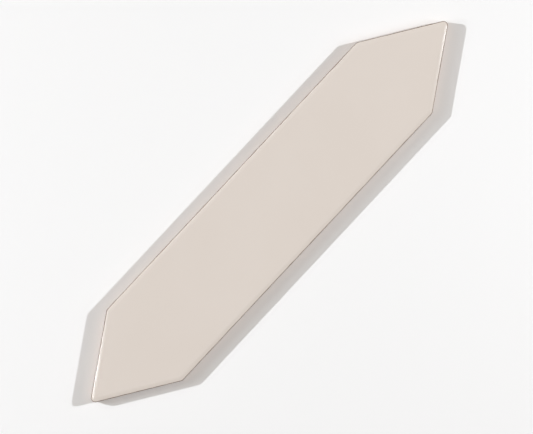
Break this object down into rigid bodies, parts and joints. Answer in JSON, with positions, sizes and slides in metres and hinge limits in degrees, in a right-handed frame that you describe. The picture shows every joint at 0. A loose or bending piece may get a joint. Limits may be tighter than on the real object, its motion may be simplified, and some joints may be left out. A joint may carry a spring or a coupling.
{
  "type": "picket tile",
  "caption": "Long flat ceramic wall tile with a point at each end, a glazed face with a softly rounded rim, upright joint sides and a flat back for bonding to a wall.",
  "frame": {"origin": "middle of the back, the face that is bonded to the wall", "axes": "+X along the tile to one tip, +Y across its width, +Z out of the glazed face"},
  "size_m": [0.33, 0.066, 0.009],
  "materials": {
    "glaze": "gloss"
  },
  "bodies": {
    "root": {"picket_tile": "glaze"}
  },
  "joints": []
}
